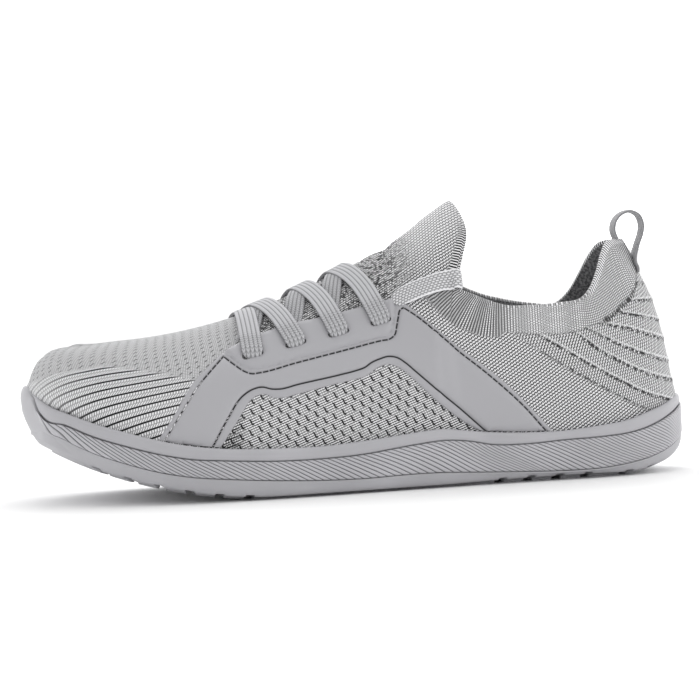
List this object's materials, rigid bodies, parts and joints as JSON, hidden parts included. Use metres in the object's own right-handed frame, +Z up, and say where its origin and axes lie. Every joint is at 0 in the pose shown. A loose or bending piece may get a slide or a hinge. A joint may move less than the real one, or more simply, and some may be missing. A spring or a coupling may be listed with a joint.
{
  "type": "sneaker",
  "caption": "Low knit sneaker for a left foot with smooth side overlays, flat laces, a heel pull loop and a cupped sole with slanting side ribs; stands empty on its sole.",
  "frame": {"origin": "middle of the box under the sole, on the floor", "axes": "+X to the heel (toe at -X), +Y to the inner side of the left foot, +Z up"},
  "size_m": [0.2719, 0.1006, 0.1144],
  "materials": {
    "knit": "matte ribbed knit",
    "overlay_film": "smooth satin film",
    "sole_rubber": "satin moulded rubber",
    "midsole_foam": "satin moulded foam",
    "lace_weave": "matte flat weave",
    "lining": "matte cloth",
    "webbing": "matte webbing"
  },
  "bodies": {
    "root": {"eyestay_lateral": "overlay_film", "eyestay_medial": "overlay_film", "insole": "lining", "lace": "lace_weave", "lace_tail_lateral": "lace_weave", "lace_tail_medial": "lace_weave", "midsole": "midsole_foam", "outsole": "sole_rubber", "overlay_lateral": "overlay_film", "overlay_medial": "overlay_film", "pull_loop": "webbing", "sidewall_band": "sole_rubber", "upper": "knit"}
  },
  "joints": []
}
